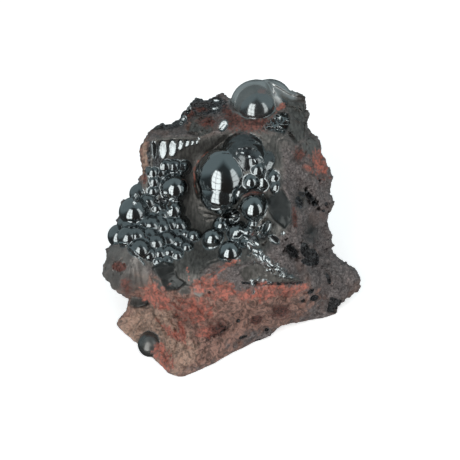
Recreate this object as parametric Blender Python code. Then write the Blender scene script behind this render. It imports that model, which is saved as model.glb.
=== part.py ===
"""A hematite hand specimen: one broken block of ore with a hollow of glossy, rounded growths on its front.

The block is described as it is displayed. Its front face leans back, and most places are given in that
face's own directions, in millimetres: across to the right, up along the face, and out of it. The block
rests on a flat broken face in the plane Z = 0.
"""

import math
import random

import bmesh
import bpy
from mathutils import Vector, noise
from mathutils.bvhtree import BVHTree
from mathutils.geometry import delaunay_2d_cdt

MM = 0.001

# The front face's normal points this far above the horizon, and its origin is this high over the rest face.
FACE_TILT = math.radians(40.0)
FACE_HEIGHT = 39.0
OUTWARD = Vector((0.0, -math.cos(FACE_TILT), math.sin(FACE_TILT)))

# Further out than any part of the block.
FAR_OUT = 100.0

# Meshing: the bare block and the block with its growths are fused at these spacings, then thinned.
BLOCK_VOXEL = 1.0
GROWTH_VOXEL = 0.75
TRIANGLES = 9400

# The underside is cut off flat this far up, and the lumps of the broken faces fade out above it.
REST_CUT = 0.8
REST_FADE = 4.0

# How far a face that would only join corners of the outline swells out in its middle.
EDGE_BULGE = 2.0

# The outline of the block seen square on to its front face, clockwise from the top: across, up, out.
# None stands for a corner on the rest face, whose distance out follows from its height.
OUTLINE = [
    (12.8, 56.3, -11.0),
    (19.4, 58.2, -10.0),
    (25.0, 56.2, -10.0),
    (29.6, 54.6, -10.0),
    (32.1, 49.0, -9.0),
    (31.6, 40.7, -6.0),
    (35.7, 35.7, -7.0),
    (36.3, 31.7, -8.0),
    (39.4, 27.6, -10.0),
    (41.0, 23.6, -11.0),
    (40.6, 16.4, -12.0),
    (41.6, 10.8, -12.0),
    (41.1, 7.2, -12.0),
    (38.6, 4.6, -12.0),
    (39.7, -2.1, -13.0),
    (41.2, -8.2, -14.0),
    (46.9, -12.4, -16.0),
    (51.1, -16.5, -17.0),
    (52.2, -20.7, -18.0),
    (51.1, -24.3, -18.0),
    (47.6, -27.9, -19.0),
    (44.6, -30.0, -20.0),
    (45.1, -34.2, None),
    (38.8, -36.7, None),
    (30.0, -37.7, None),
    (21.7, -38.7, None),
    (15.4, -43.5, None),
    (1.0, -49.6, None),
    (-8.0, -54.7, None),
    (-19.4, -59.2, None),
    (-24.9, -57.4, None),
    (-31.7, -51.9, None),
    (-39.8, -44.9, None),
    (-47.9, -37.6, None),
    (-44.1, -33.8, -12.0),
    (-40.3, -31.1, -8.0),
    (-39.7, -27.0, -6.0),
    (-41.1, -24.9, -4.0),
    (-47.2, -22.3, -4.0),
    (-51.3, -19.3, -5.0),
    (-49.9, -12.7, -6.0),
    (-48.4, -6.6, -6.0),
    (-43.9, -1.0, -7.0),
    (-45.0, 3.1, -8.0),
    (-43.4, 11.2, -8.0),
    (-37.4, 13.8, -8.0),
    (-37.3, 18.4, -8.0),
    (-33.3, 22.0, -8.0),
    (-35.3, 26.1, -9.0),
    (-35.8, 30.2, -10.0),
    (-33.8, 36.4, -11.0),
    (-31.8, 40.0, -12.0),
    (-26.7, 41.6, -13.0),
    (-21.1, 44.2, -14.0),
    (-18.5, 48.9, -15.0),
    (-14.4, 52.6, -16.0),
    (-9.3, 54.6, -16.0),
    (-4.1, 56.6, -15.0),
    (0.5, 53.9, -13.0),
    (6.2, 54.3, -12.0),
]

# The broken edge of the glossy hollow, anticlockwise from its lower left corner.
HOLLOW_RIM = [
    (-40.2, -5.0, 5.0),
    (-31.1, -12.4, 9.0),
    (-26.1, -17.7, 11.0),
    (-17.7, -22.1, 13.0),
    (-12.3, -20.1, 13.0),
    (-9.8, -14.7, 15.0),
    (-4.4, -12.2, 16.0),
    (2.0, -13.7, 16.0),
    (7.8, -12.2, 16.0),
    (12.2, -12.2, 16.0),
    (16.1, -3.9, 18.0),
    (23.0, 1.0, 17.0),
    (22.5, 9.8, 18.0),
    (19.5, 15.6, 18.0),
    (21.0, 25.0, 16.0),
    (20.1, 34.9, 13.0),
    (14.8, 39.5, 9.0),
    (4.0, 40.2, 6.0),
    (-3.0, 39.2, 5.0),
    (-12.0, 36.9, 3.0),
    (-20.4, 36.3, 4.0),
    (-27.4, 36.3, 4.0),
    (-31.3, 34.3, 4.0),
    (-31.9, 27.4, 2.0),
    (-33.0, 20.5, 0.0),
    (-36.1, 15.0, -2.0),
    (-41.2, 10.1, -4.0),
    (-42.1, 2.0, -2.0),
]

# The floor of the hollow.
HOLLOW_FLOOR = [
    (-26.2, 30.2, -5.0),
    (-12.1, 28.3, -8.0),
    (-25.7, 14.1, -7.0),
    (-14.1, 14.1, -8.0),
    (-6.0, 6.0, -6.0),
    (-20.1, -2.0, -3.0),
    (-10.0, -6.0, -1.0),
    (4.0, 2.0, 2.0),
    (12.0, 27.4, 3.0),
    (15.9, 15.9, 7.0),
    (2.0, 33.6, -2.0),
    (-31.4, -2.0, 2.0),
    (4.0, -4.0, 3.0),
    (-33.5, 6.0, -1.0),
]

# Corners of the broken faces round the hollow.
BROKEN_FACES = {
    "prow": [
        (-31.5, -27.5, 0.0),
        (-25.4, -39.3, 3.0),
        (-17.7, -26.6, 11.0),
        (-15.7, -42.8, 13.0),
        (-5.9, -38.8, 13.0),
        (-2.0, -45.2, 5.0),
    ],
    "ledge": [
        (-9.8, -24.0, 14.0),
        (2.0, -25.5, 14.0),
        (15.7, -25.1, 12.0),
        (28.8, -23.3, 6.0),
        (32.5, -26.5, 1.0),
        (21.6, -17.7, 13.0),
        (27.7, -20.8, 9.0),
    ],
    "under_ledge": [
        (3.9, -33.1, 10.0),
        (15.9, -32.2, 6.0),
        (27.6, -31.1, -2.0),
        (37.9, -27.8, -9.0),
    ],
    "right_foot": [
        (42.8, -18.1, -6.0),
        (41.0, -24.8, -9.0),
    ],
    "right_face": [
        (29.3, 31.3, 5.0),
        (33.5, 18.0, -1.0),
        (29.3, 11.9, 6.0),
        (32.5, -2.0, 1.0),
        (31.4, -12.0, 3.0),
        (35.5, -18.0, 0.0),
    ],
    "shoulder": [
        (27.5, 43.4, 1.0),
        (23.5, 47.6, -1.0),
        (16.1, 47.8, -4.0),
    ],
    "crest": [
        (2.0, 45.7, -4.0),
        (-10.1, 44.5, -8.0),
        (-18.1, 40.8, -6.0),
        (-2.0, 50.2, -11.0),
    ],
    "left_lobe": [
        (-46.9, -9.0, 2.0),
        (-35.0, -9.9, 10.0),
        (-32.6, -14.8, 10.0),
        (-41.3, -22.4, 4.0),
        (-39.5, -15.8, 10.0),
    ],
}

# Corners of the hidden side, in the block's own X, Y and height over the rest face.
BACK_CORNERS = [
    (0.0, 51.0, 42.0),
    (-28.0, 44.0, 32.0),
    (31.0, 47.0, 34.0),
    (-10.0, 47.0, 58.0),
    (18.0, 51.0, 60.0),
    (38.0, 26.0, 28.0),
    (-41.0, 18.0, 24.0),
    (-30.0, 31.0, 50.0),
    (34.0, 34.0, 50.0),
    (46.0, 10.0, 0.0),
    (40.0, 30.0, 0.0),
    (14.0, 45.0, 0.0),
    (-20.0, 43.0, 0.0),
    (-40.0, 26.0, 0.0),
    (-44.0, 17.0, 5.0),
    (-37.5, 6.0, 0.0),
    (-42.5, -12.0, 0.0),
    (-40.3, -8.5, 0.0),
    (42.2, -6.0, 0.0),
]

# The large rounded growths: across, up, radius, and how far the centre stands off the rock in radii.
DOMES = {
    "top_dome": (10.5, 50.0, 10.2, -0.1),
    "great_ball": (-1.0, 21.0, 10.6, 0.3),
    "hind_dome": (8.0, 24.0, 11.4, -0.15),
    "left_ball": (-22.0, 17.0, 4.6, 0.6),
    "right_ball": (10.0, 9.0, 5.0, 0.6),
    "edge_ball": (-38.5, 6.8, 5.6, 0.1),
    "hanging_ball": (-6.0, -3.7, 3.8, 0.8),
    "lower_ball": (0.7, -8.7, 3.6, 0.6),
    "twin_ball_left": (-3.6, 0.0, 3.4, 0.4),
    "twin_ball_right": (2.4, -2.4, 3.4, 0.4),
    "small_ball": (-22.5, 8.3, 3.2, 0.5),
    "dull_ball": (-13.4, -3.6, 3.2, 0.4),
    "pit_ball": (13.0, -1.0, 3.6, 0.0),
    "lobe_top": (-43.0, -2.5, 4.6, -0.2),
    "lobe_side": (-38.0, -4.8, 3.6, 0.0),
    "prow_ball": (-31.5, -44.5, 4.3, -0.1),
}

# Beds of small growths: centre across and up, half width, half height, least and greatest radius, number.
BEDS = {
    "lower_left": (-28.0, -2.5, 13.5, 8.0, 1.8, 2.8, 44),
    "left_edge": (-33.0, 19.0, 2.5, 9.5, 1.3, 2.0, 14),
    "upper_left": (-23.0, 26.0, 6.5, 4.5, 1.6, 2.4, 12),
    "beside_great_ball": (12.5, 22.5, 6.5, 7.5, 1.5, 2.6, 18),
    "middle_left": (-27.0, 10.5, 5.5, 4.0, 1.5, 2.5, 12),
    "foot_of_hollow": (3.0, -5.0, 7.0, 4.5, 1.6, 2.4, 10),
}
BED_SEED = 7
BED_SPACING = 0.75
BED_RISE = 0.35
BED_EDGE = 0.5
TRIES_PER_GROWTH = 40
GROWTH_ROUNDNESS = 3

# Pits in the broken faces: across, up, half width, half height, turn in degrees, depth.
PITS = {
    "slot": (31.5, 15.0, 1.6, 5.0, 25.0, 5.0),
    "slot_side": (27.0, 12.0, 2.0, 3.5, 10.0, 1.6),
    "right_hollow": (23.5, -7.5, 3.0, 3.5, 40.0, 3.0),
    "right_hollow_low": (29.0, -8.0, 3.5, 4.0, 20.0, 2.4),
    "right_hollow_high": (30.0, -1.0, 2.5, 4.0, 0.0, 1.4),
    "ball_pit": (13.0, -1.0, 4.6, 4.6, 0.0, 5.0),
    "lobe_pit": (-44.0, -14.0, 2.6, 1.8, 0.0, 2.0),
    "ledge_pit": (26.0, -25.5, 1.6, 1.4, 0.0, 1.8),
    "under_pit": (9.0, -35.0, 2.5, 1.2, 20.0, 1.6),
    "under_slot": (15.5, -38.5, 1.0, 2.6, -35.0, 1.8),
    "prow_groove": (-2.0, -40.0, 1.8, 5.0, -30.0, 2.6),
    "foot_pit": (36.0, -18.5, 1.4, 3.4, 25.0, 1.8),
}
PIT_FLATNESS = 3

# The broken faces are chipped into small flat facets: how large these are, and how steeply they lean.
FACETS = [(13.0, 0.32), (5.0, 0.2)]
FACET_SHUFFLE = 97.0
HOLLOW_SMOOTHING = 14
RIM_WIDTH = 2.0

# Skin this near to a round growth is taken to be its surface.
BALL_REACH = 0.35


def place(across, up, out):
    """A point given in the front face's directions, in millimetres, as a point of the block."""
    tilt_sin, tilt_cos = math.sin(FACE_TILT), math.cos(FACE_TILT)
    return Vector((across, up * tilt_sin - out * tilt_cos, FACE_HEIGHT + up * tilt_cos + out * tilt_sin)) * MM


def face_coords(point):
    """The front face's across, up and out of a point of the block, in millimetres."""
    tilt_sin, tilt_cos = math.sin(FACE_TILT), math.cos(FACE_TILT)
    x, y, z = point / MM
    z -= FACE_HEIGHT
    return Vector((x, y * tilt_sin + z * tilt_cos, z * tilt_sin - y * tilt_cos))


def rest_out(up):
    """How far out the rest face lies at a height up the front face."""
    return (-FACE_HEIGHT - up * math.cos(FACE_TILT)) / math.sin(FACE_TILT)


def inside(outline, across, up):
    """Whether a point of the front face lies inside an outline given as across, up, out."""
    crossings = 0
    for (a0, u0, _), (a1, u1, _) in zip(outline, outline[1:] + outline[:1]):
        if (u0 > up) != (u1 > up) and across < a0 + (up - u0) / (u1 - u0) * (a1 - a0):
            crossings += 1
    return crossings % 2 == 1


def add_side(mesh, rim, inner, facing):
    """Covers one side of the outline with flat faces between its rim and its inner corners.

    A face whose corners all lie on the rim gets a corner in its middle, so that the block has some thickness.
    """
    corners = rim + [mesh.verts.new(place(*corner)) for corner in inner]
    flat = [face_coords(vert.co).to_2d() for vert in corners]
    _, _, faces, found, _, _ = delaunay_2d_cdt(flat, [], [list(range(len(rim)))], 1, 1e-4)
    for face in faces:
        index = [found[i][0] for i in face][::facing]
        made = mesh.faces.new([corners[i] for i in index])
        if max(index) < len(rim):
            middle = face_coords(made.calc_center_median())
            middle.z += facing * EDGE_BULGE
            bmesh.ops.poke(mesh, faces=[made])["verts"][0].co = place(*middle)


def block_mesh():
    """The block as a closed shell of flat broken faces, before it is worn and before anything grows on it."""
    mesh = bmesh.new()
    rim = [
        mesh.verts.new(place(across, up, rest_out(up) if out is None else out))
        for across, up, out in reversed(OUTLINE)
    ]
    front = HOLLOW_RIM + HOLLOW_FLOOR + [corner for corners in BROKEN_FACES.values() for corner in corners]
    back = [face_coords(Vector(corner) * MM) for corner in BACK_CORNERS]
    add_side(mesh, rim, front, 1)
    add_side(mesh, rim, back, -1)
    return mesh


def replaced(obj, mesh):
    """Puts a finished mesh in an object in place of its old one."""
    old = obj.data
    obj.modifiers.clear()
    obj.data = mesh
    bpy.data.meshes.remove(old)


def evaluate(obj):
    """Applies an object's modifiers."""
    graph = bpy.context.evaluated_depsgraph_get()
    replaced(obj, bpy.data.meshes.new_from_object(obj.evaluated_get(graph)))


def fuse(obj, spacing):
    """Makes one closed skin of all the bodies in an object."""
    remesh = obj.modifiers.new("fuse", "REMESH")
    remesh.mode = "VOXEL"
    remesh.voxel_size = spacing * MM
    evaluate(obj)


def rim_distance(across, up):
    """How far a point of the front face lies inside the hollow's rim, or outside it where negative."""
    point = Vector((across, up))
    nearest = math.inf
    for (a0, u0, _), (a1, u1, _) in zip(HOLLOW_RIM, HOLLOW_RIM[1:] + HOLLOW_RIM[:1]):
        start, run = Vector((a0, u0)), Vector((a1 - a0, u1 - u0))
        share = min(1.0, max(0.0, (point - start).dot(run) / run.length_squared))
        nearest = min(nearest, (start + run * share - point).length)
    return nearest if inside(HOLLOW_RIM, across, up) else -nearest


def glossiness(vert):
    """1 in the hollow and 0 on the broken faces, with a narrow step at the rim."""
    across, up, _ = face_coords(vert.co)
    if vert.normal.dot(OUTWARD) < 0:
        return 0.0
    return min(1.0, max(0.0, rim_distance(across, up) / RIM_WIDTH + 0.5))


def smooth_hollow(mesh, gloss):
    """Rounds the flat facets in the hollow, where the rock grew and didn't break."""
    for _ in range(HOLLOW_SMOOTHING):
        moved = {}
        for vert in mesh.verts:
            share = gloss[vert.index]
            if share > 0:
                around = [edge.other_vert(vert).co for edge in vert.link_edges]
                moved[vert] = vert.co.lerp(sum(around, Vector()) / len(around), share)
        for vert, co in moved.items():
            vert.co = co


def facet_height(point, size, lean):
    """How far a point is raised by the small flat facet it lies on, in millimetres."""
    middle = noise.voronoi(point / (size * MM))[1][0]
    direction = noise.cell_vector(middle * FACET_SHUFFLE) - Vector((0.5, 0.5, 0.5))
    return direction.dot(point / (size * MM) - middle) * size * lean


def chip(mesh, gloss):
    """Breaks the outer faces into small facets, and leaves the hollow and the rest face alone."""
    mesh.normal_update()
    for vert in mesh.verts:
        height = sum(facet_height(vert.co, size, lean) for size, lean in FACETS)
        fade = min(1.0, max(0.0, vert.co.z / MM - REST_CUT) / REST_FADE)
        vert.co += vert.normal * height * MM * fade * (1.0 - gloss[vert.index])


def sink_pits(mesh):
    """Sinks the pits into the front."""
    for across, up, half_width, half_height, turn, depth in PITS.values():
        cos, sin = math.cos(math.radians(turn)), math.sin(math.radians(turn))
        for vert in mesh.verts:
            if vert.normal.dot(OUTWARD) < 0:
                continue
            point = face_coords(vert.co)
            da, du = point.x - across, point.y - up
            reach = math.hypot((da * cos + du * sin) / half_width, (du * cos - da * sin) / half_height)
            if reach < 1.0:
                vert.co -= OUTWARD * depth * MM * (1.0 - reach**PIT_FLATNESS)


def ball_centre(tree, across, up, radius, rise):
    """The centre of a round growth that stands off the rock below it by a share of its radius."""
    surface = tree.ray_cast(place(across, up, FAR_OUT), -OUTWARD)[0]
    return surface + OUTWARD * rise * radius * MM


def add_balls(mesh, balls):
    """Adds the round growths to the rock, still as bodies of their own."""
    for centre, radius in balls:
        made = bmesh.ops.create_icosphere(mesh, subdivisions=GROWTH_ROUNDNESS, radius=radius)
        bmesh.ops.translate(mesh, verts=made["verts"], vec=centre)


def round_off(obj, balls):
    """Draws the fused skin back on to the round growths wherever it lies close to one."""
    reach = BALL_REACH * MM
    for vert in obj.data.vertices:
        near = [(abs((vert.co - centre).length - radius), centre, radius) for centre, radius in balls]
        gap, centre, radius = min(near, key=lambda ball: ball[0])
        buried = any((vert.co - centre).length < radius - reach for centre, radius in balls)
        if gap < reach and not buried:
            vert.co = centre + (vert.co - centre).normalized() * radius


def bed_places():
    """Scatters the small growths over their beds, clear of each other by a share of their radii."""
    picker = random.Random(BED_SEED)
    kept = []
    for across, up, half_width, half_height, least, greatest, count in BEDS.values():
        made = 0
        for _ in range(count * TRIES_PER_GROWTH):
            if made == count:
                break
            turn, reach = picker.uniform(0, math.tau), math.sqrt(picker.random())
            radius = picker.uniform(least, greatest)
            here = (across + half_width * reach * math.cos(turn), up + half_height * reach * math.sin(turn))
            if rim_distance(*here) < -BED_EDGE:
                continue
            if all(math.dist(here, other[:2]) > BED_SPACING * (radius + other[2]) for other in kept):
                kept.append((*here, radius))
                made += 1
    return kept


def drop_crumbs(mesh):
    """Leaves only the largest body, without the crumbs that chipping cut loose."""
    bodies, seen = [], set()
    for first in mesh.verts:
        if first in seen:
            continue
        body, waiting = set(), [first]
        while waiting:
            vert = waiting.pop()
            if vert not in body:
                body.add(vert)
                waiting += [edge.other_vert(vert) for edge in vert.link_edges]
        seen |= body
        bodies.append(body)
    largest = max(bodies, key=len)
    bmesh.ops.delete(mesh, geom=[vert for vert in mesh.verts if vert not in largest], context="VERTS")


def flatten_rest(obj):
    """Cuts the underside off flat and sets the block down on the cut."""
    mesh = bmesh.new()
    mesh.from_mesh(obj.data)
    geometry = mesh.verts[:] + mesh.edges[:] + mesh.faces[:]
    level = Vector((0, 0, REST_CUT * MM))
    cut = bmesh.ops.bisect_plane(mesh, geom=geometry, plane_co=level, plane_no=(0, 0, 1), clear_inner=True)
    rim = [edge for edge in cut["geom_cut"] if isinstance(edge, bmesh.types.BMEdge)]
    bmesh.ops.holes_fill(mesh, edges=rim)
    drop_crumbs(mesh)
    bmesh.ops.translate(mesh, verts=mesh.verts, vec=-level)
    bmesh.ops.triangulate(mesh, faces=mesh.faces)
    bmesh.ops.recalc_face_normals(mesh, faces=mesh.faces)
    mesh.to_mesh(obj.data)
    mesh.free()


def thin(obj):
    """Brings the skin down to the stated number of triangles, fewest where it is flat."""
    decimate = obj.modifiers.new("thin", "DECIMATE")
    decimate.ratio = TRIANGLES / sum(len(face.vertices) - 2 for face in obj.data.polygons)
    evaluate(obj)


def ore_material():
    """Dull grey ore, the finish that covers most of the block."""
    material = bpy.data.materials.new("hematite")
    material.use_nodes = True
    shader = material.node_tree.nodes["Principled BSDF"]
    shader.inputs["Base Color"].default_value = (0.085, 0.075, 0.075, 1.0)
    shader.inputs["Metallic"].default_value = 0.4
    shader.inputs["Roughness"].default_value = 0.35
    return material


def build():
    for obj in list(bpy.data.objects):
        bpy.data.objects.remove(obj)
    block = bpy.data.objects.new("hematite_specimen", bpy.data.meshes.new("hematite_specimen"))
    bpy.context.scene.collection.objects.link(block)
    shell = block_mesh()
    shell.to_mesh(block.data)
    shell.free()
    fuse(block, BLOCK_VOXEL)

    skin = bmesh.new()
    skin.from_mesh(block.data)
    skin.verts.ensure_lookup_table()
    gloss = [glossiness(vert) for vert in skin.verts]
    smooth_hollow(skin, gloss)
    chip(skin, gloss)
    sink_pits(skin)
    tree = BVHTree.FromBMesh(skin)
    growths = list(DOMES.values()) + [(*here, BED_RISE) for here in bed_places()]
    balls = [(ball_centre(tree, *growth), growth[2] * MM) for growth in growths]
    add_balls(skin, balls)
    skin.to_mesh(block.data)
    skin.free()
    fuse(block, GROWTH_VOXEL)
    round_off(block, balls)
    thin(block)
    flatten_rest(block)
    block.data.materials.clear()
    block.data.materials.append(ore_material())


if __name__ == "__main__":
    build()
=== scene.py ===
# %% [markdown]
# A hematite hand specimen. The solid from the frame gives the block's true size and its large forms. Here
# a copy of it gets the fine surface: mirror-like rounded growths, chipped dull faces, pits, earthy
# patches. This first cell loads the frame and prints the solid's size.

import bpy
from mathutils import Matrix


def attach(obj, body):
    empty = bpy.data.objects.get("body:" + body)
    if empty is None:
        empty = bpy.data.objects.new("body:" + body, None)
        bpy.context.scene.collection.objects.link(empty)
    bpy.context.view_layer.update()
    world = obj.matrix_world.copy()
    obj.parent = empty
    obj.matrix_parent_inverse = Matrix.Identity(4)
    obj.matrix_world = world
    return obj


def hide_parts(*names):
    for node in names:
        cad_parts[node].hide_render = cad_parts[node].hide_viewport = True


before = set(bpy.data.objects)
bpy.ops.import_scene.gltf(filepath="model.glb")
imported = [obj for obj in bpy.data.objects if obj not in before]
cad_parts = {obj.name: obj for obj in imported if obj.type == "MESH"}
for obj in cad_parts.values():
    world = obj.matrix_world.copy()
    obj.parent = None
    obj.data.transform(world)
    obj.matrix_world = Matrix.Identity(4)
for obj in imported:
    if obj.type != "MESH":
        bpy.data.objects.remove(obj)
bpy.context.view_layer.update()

import math
import random

import bpy
import numpy as np
from mathutils import Vector, noise
from mathutils.bvhtree import BVHTree

MM = 0.001
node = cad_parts["hematite_specimen"]
print("solid's size in mm:", [round(size / MM, 1) for size in node.dimensions])

# %% [markdown]
# The specimen leans back, so its front face looks up at the viewer. Most places on it are easiest to read
# square on to that face, so they are given as across, up and out, in millimetres. `place` turns them into
# the block's own X, Y and Z, and `to_face` does the reverse for every vertex of a mesh at once.

# %% The front face's directions
FACE_TILT = math.radians(40.0)
FACE_HEIGHT = 38.2
TILT_SIN, TILT_COS = math.sin(FACE_TILT), math.cos(FACE_TILT)
OUTWARD = Vector((0.0, -TILT_COS, TILT_SIN))


def place(across, up, out):
    """A point given square on to the front face, in millimetres, as a point of the block in metres."""
    depth = up * TILT_SIN - out * TILT_COS
    height = FACE_HEIGHT + up * TILT_COS + out * TILT_SIN
    return Vector((across, depth, height)) * MM


def to_face(points):
    """Across, up and out of points of the block, in millimetres, as three arrays."""
    x, y, z = (points / MM).T
    z = z - FACE_HEIGHT
    return x, y * TILT_SIN + z * TILT_COS, z * TILT_SIN - y * TILT_COS


print("front face's origin in mm:", [round(size / MM, 1) for size in place(0, 0, 0)])

# %% [markdown]
# Blender's operators act on whatever is selected, and the frame leaves its solid selected. So two small
# helpers pick exactly one object and apply one modifier to it, and two more read and write a mesh's
# vertices as one array, which is much quicker than one vertex at a time.

# %% Helpers for picking, modifiers and vertices
def pick(*objects):
    """Selects these objects alone and makes the first one active."""
    bpy.ops.object.select_all(action="DESELECT")
    for obj in objects:
        obj.select_set(True)
    bpy.context.view_layer.objects.active = objects[0]


def apply_modifier(obj, kind, **settings):
    """Adds one modifier with these settings and applies it."""
    pick(obj)
    bpy.ops.object.modifier_add(type=kind)
    modifier = obj.modifiers[-1]
    for name, value in settings.items():
        setattr(modifier, name, value)
    bpy.ops.object.modifier_apply(modifier=modifier.name)


def read_vertices(obj, what="co"):
    """An object's vertex places or normals as rows of an array."""
    values = np.empty(len(obj.data.vertices) * 3)
    obj.data.vertices.foreach_get(what, values)
    return values.reshape(-1, 3)


def write_vertices(obj, points):
    """Moves every vertex of an object to its row of an array."""
    obj.data.vertices.foreach_set("co", points.ravel())
    obj.data.update()


def step(low, high, value):
    """0 below low, 1 above high and a smooth rise between."""
    share = np.clip((value - low) / (high - low), 0.0, 1.0)
    return share * share * (3.0 - 2.0 * share)


# %% [markdown]
# The block itself: a copy of the solid, which is made of loose triangles, so its doubles are merged
# first. A voxel remesh then gives it an even skin, fine enough to carve, and a smoothing pass takes the
# solid's flat facets away.

# %% Copy the block and give it an even skin
BLOCK_SPACING = 0.8
pick(node)
bpy.ops.object.duplicate()
block = bpy.context.active_object
block.name = "ore_block"
pick(block)
bpy.ops.object.mode_set(mode="EDIT")
bpy.ops.mesh.select_all(action="SELECT")
bpy.ops.mesh.remove_doubles(threshold=0.00001)
bpy.ops.object.mode_set(mode="OBJECT")
apply_modifier(block, "REMESH", mode="VOXEL", voxel_size=BLOCK_SPACING * MM)
apply_modifier(block, "SMOOTH", factor=0.5, iterations=3)
print("block's vertices:", len(block.data.vertices))

# %% [markdown]
# The hollow on the front is where the ore grew freely, so it is smooth and glossy, while all round it the
# block was broken. Its broken edge is an outline of a few points. For each vertex the distance to that
# edge is worked out, positive inside, and this decides later what is smooth and what is rough.

# %% The edge of the hollow
HOLLOW_RIM = [
    (-40.3, -5), (-33, -13.5), (-27, -18.5), (-18, -22.5), (-12.5, -20.5), (-10, -15), (-4.5, -12.5),
    (2, -13.5), (8, -12), (12.5, -12), (16.5, -5), (23, 1), (22.8, 10), (20, 16), (20.8, 25.5),
    (19.8, 33), (15, 38.5), (4, 40), (-3, 38.5), (-12, 36.5), (-20.5, 36.5), (-29, 36.5), (-31.3, 34.5),
    (-31.8, 27.5), (-33, 20.5), (-36, 15), (-43, 10), (-44.5, 2),
]


def line_distance(across, up, line):
    """Distance to an open line in millimetres, for arrays of places."""
    nearest = np.full(len(across), np.inf)
    for (a0, u0), (a1, u1) in zip(line, line[1:]):
        run_a, run_u = a1 - a0, u1 - u0
        share = np.clip(((across - a0) * run_a + (up - u0) * run_u) / (run_a**2 + run_u**2), 0.0, 1.0)
        nearest = np.minimum(nearest, np.hypot(a0 + share * run_a - across, u0 + share * run_u - up))
    return nearest


def rim_distance(across, up, rim=HOLLOW_RIM):
    """Distance to an outline in millimetres, positive inside it, for arrays of places."""
    closed = rim + rim[:1]
    crossings = np.zeros(len(across), int)
    for (a0, u0), (a1, u1) in zip(closed, closed[1:]):
        spans = (u0 > up) != (u1 > up)
        crossings += spans & (across < a0 + (up - u0) / ((u1 - u0) or 1.0) * (a1 - a0))
    nearest = line_distance(across, up, closed)
    return np.where(crossings % 2 == 1, nearest, -nearest)


def facing_out(obj, least=0.05):
    """1 where a vertex faces out of the front face, and 0 on the sides and the back."""
    return step(least, least + 0.2, read_vertices(obj, "normal") @ np.array(OUTWARD))


def hollow_share(obj, soft=1.5):
    """1 in the hollow, 0 on the broken faces, changing over a few millimetres at the edge."""
    across, up, _ = to_face(read_vertices(obj))
    return step(-soft, soft, rim_distance(across, up)) * facing_out(obj)


print("vertices in the hollow:", int((hollow_share(block) > 0.5).sum()))

# %% [markdown]
# The solid's own growths are only roughly round. A search tree keeps where they are, and then they are
# smoothed away, so that exact ones can take their places. The Smooth modifier works only where its vertex
# group says: in the hollow, and on the lobe at the left, which is a smooth fan of fibres on the real
# stone.

# %% Smooth the floor of the hollow
SMOOTHING_ROUNDS = 90
LOBE_FACE = [
    (-48, -6.5), (-40.4, -5.6), (-35.5, -10.5), (-31.5, -16.5), (-32.2, -21.9), (-40.4, -25.3),
    (-46.9, -23.3), (-51, -19.9), (-50, -13.7),
]


def set_group(obj, name, weights):
    """Stores a weight for every vertex in a vertex group that modifiers can use."""
    group = obj.vertex_groups.get(name) or obj.vertex_groups.new(name=name)
    levels = np.round(weights * 20).astype(int)
    for level in range(1, 21):
        group.add(np.nonzero(levels == level)[0].tolist(), level / 20, "REPLACE")


def outline_share(obj, outline, soft=0.6):
    """1 on the front inside an outline and 0 outside it, changing over twice the soft width."""
    across, up, _ = to_face(read_vertices(obj))
    return step(-soft, soft, rim_distance(across, up, outline)) * facing_out(obj)


def search_tree(obj):
    """A tree that finds where a ray meets an object's surface."""
    return BVHTree.FromPolygons(
        [vertex.co for vertex in obj.data.vertices], [face.vertices for face in obj.data.polygons]
    )


solid = search_tree(block)
smooth_part = np.maximum(hollow_share(block), outline_share(block, LOBE_FACE))
set_group(block, "smoothed", smooth_part)
apply_modifier(block, "SMOOTH", factor=0.6, iterations=SMOOTHING_ROUNDS, vertex_group="smoothed")
floor_of_hollow = search_tree(block)
print("vertices smoothed:", int((smooth_part > 0).sum()))

# %% [markdown]
# Hematite of this kind grows outwards from points, like frost, and so ends in smooth domes and balls. The
# large ones are given as across, up, radius, how far the centre lies under the solid's surface in radii,
# and gloss. Two or three of nearly the same place make a dome of shells, one over the other. The small
# ones sit on the hollow's smooth floor. More of them are scattered inside ellipses by a seeded draw, so
# that they come out the same each time.

# %% Where the growths are
DOMES = [
    (10, 50, 9.9, 1, 0.45), (10.6, 48.6, 7.9, 0.84, 0.85), (16, 51.5, 9, 1.12, 0.3),
    (-2.5, 21.5, 11, 0.78, 1), (-3.4, 14.8, 8.8, 0.72, 0.9), (4.4, 16.4, 6.6, 0.78, 0.9),
    (6.6, 27.6, 10.2, 0.92, 0.25), (7.2, 29.6, 10.4, 1, 0.2), (7.8, 31.4, 10.4, 1.12, 0.15),
    (9.4, 27, 5.8, 0.84, 0.5), (13.4, 19.8, 6.2, 0.84, 0.9), (17, 25.5, 6.2, 0.98, 0.35),
    (13.8, 32, 6.2, 1.06, 0.2), (8.2, 19, 3.6, 0.5, 1), (-22, 16.6, 5.7, 0.66, 1),
    (9.4, 8.7, 5.4, 0.75, 1), (-38, 7.2, 6, 0.74, 0.9), (-6.8, -3.2, 4.2, 0.6, 1),
    (-6.6, -6.4, 3.8, 0.78, 0.9), (-0.1, -8.5, 4.5, 0.7, 1), (-3.2, 1.6, 4, 0.75, 1),
    (3.2, -1.2, 4.4, 0.75, 0.9), (-22.5, 8, 4.4, 0.7, 0.9), (-14.2, -2.6, 3.1, 0.8, 0.8),
    (12.8, -0.4, 2.4, 1.2, 1), (-44, -2.4, 4.8, 0.95, 0.8), (-31.4, -45.2, 5.1, 0.8, 0.12),
]
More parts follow.
